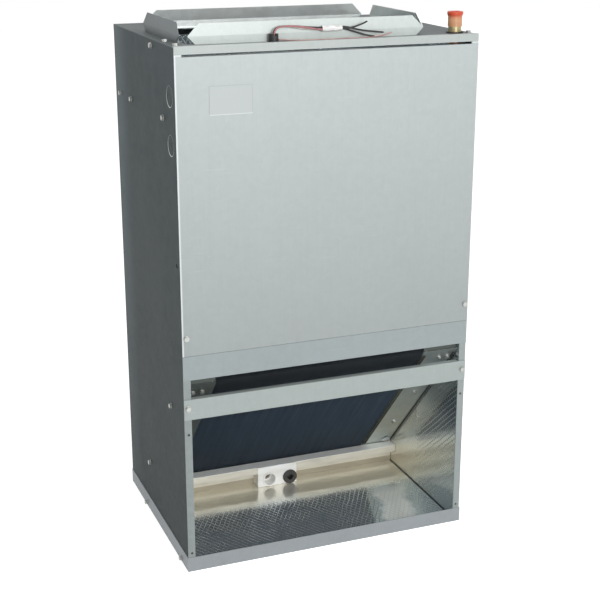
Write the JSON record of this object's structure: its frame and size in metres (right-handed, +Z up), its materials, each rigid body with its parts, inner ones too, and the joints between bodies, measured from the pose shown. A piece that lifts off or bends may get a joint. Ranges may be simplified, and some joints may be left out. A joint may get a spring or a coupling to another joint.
{
  "type": "air handler",
  "caption": "Upright sheet-metal air handler with a slanted cooling coil over a drain pan in an open return, a pull-off front panel, a blower and a flanged supply opening on top.",
  "frame": {"origin": "centre of the base tray's underside", "axes": "+Z up, -Y is the front with the service panel, +X is to the viewer's right when facing the front"},
  "size_m": [0.549, 0.4018, 0.9551],
  "materials": {
    "galvanised": "satin",
    "galvanised_side": "satin",
    "screw_zinc": "satin",
    "foil_lining": "foil-faced",
    "pan_plastic": "matte",
    "white_plastic": "gloss",
    "black_plastic": "matte",
    "fin_aluminium": "bare",
    "copper": "bare",
    "brass": "bare",
    "black_rubber": "matte",
    "cap_plastic": "gloss",
    "shaft_steel": "bare",
    "motor_paint": "satin",
    "capacitor_can": "bare",
    "element_steel": "oxidised",
    "board_green": "matte",
    "transformer_steel": "matte",
    "plate_aluminium": "satin",
    "lead_black": "matte",
    "lead_pale": "matte",
    "sleeve_white": "matte"
  },
  "bodies": {
    "casing": {"base_tray": "galvanised", "left_side_panel": "galvanised_side", "right_side_panel": "galvanised_side", "back_panel": "galvanised_side", "top_panel": "galvanised", "top_trim": "galvanised", "front_duct_flange": "galvanised", "back_duct_flange": "galvanised", "left_duct_flange": "galvanised", "right_duct_flange": "galvanised", "upper_rail": "galvanised", "casing_screws": "screw_zinc", "floor_lining": "foil_lining", "left_lining": "foil_lining", "right_lining": "foil_lining", "back_lining": "foil_lining", "drain_pan": "pan_plastic", "pan_sill": "pan_plastic", "drain_block": "white_plastic", "coil_fin_pack": "fin_aluminium", "coil_hairpins": "copper", "return_bends": "copper", "coil_end_plates": "galvanised", "left_coil_channel": "galvanised", "right_coil_channel": "galvanised", "suction_line": "copper", "suction_grommet": "black_rubber", "liquid_line": "copper", "metering_piston": "brass", "blower_deck": "galvanised", "blower_scroll": "galvanised", "blower_sides": "galvanised", "motor_shell": "motor_paint", "motor_mount": "shaft_steel", "mount_grommets": "black_rubber", "run_capacitor": "capacitor_can", "capacitor_strap": "galvanised", "heater_plate": "galvanised", "heater_elements": "element_steel", "limit_switch": "black_plastic", "control_box": "galvanised", "control_board": "board_green", "transformer": "transformer_steel", "blower_relay": "black_plastic", "cable_bushing": "black_plastic", "power_leads": "lead_black", "control_leads": "lead_pale", "lead_sleeve": "sleeve_white"},
    "blower_rotor": {"blower_wheel": "galvanised", "wheel_blades": "galvanised", "wheel_hub": "shaft_steel", "motor_shaft": "shaft_steel"},
    "service_cover": {"service_panel": "galvanised", "panel_lining": "foil_lining", "bare_plate": "plate_aluminium", "panel_screws": "screw_zinc"},
    "filter_cover": {"filter_rail": "galvanised", "filter_rail_screws": "screw_zinc"},
    "tube_cap": {"suction_cap": "cap_plastic"},
    "port_plug": {"drain_plug": "black_plastic"}
  },
  "joints": [
    {"name": "blower_spin", "type": "hinge", "parent": "casing", "child": "blower_rotor", "pos_m": [-0.0315, 0.044, 0.65], "axis": [1, 0, 0], "continuous": true},
    {"name": "panel_pull", "type": "slide", "parent": "casing", "child": "service_cover", "axis": [0, -1, 0], "range_m": [0, 0.3]},
    {"name": "filter_rail_pull", "type": "slide", "parent": "casing", "child": "filter_cover", "axis": [0, -1, 0], "range_m": [0, 0.3]},
    {"name": "cap_lift", "type": "slide", "parent": "casing", "child": "tube_cap", "axis": [0, 0, 1], "range_m": [0, 0.08]},
    {"name": "plug_pull", "type": "slide", "parent": "casing", "child": "port_plug", "axis": [0, -1, 0], "range_m": [0, 0.05]}
  ]
}
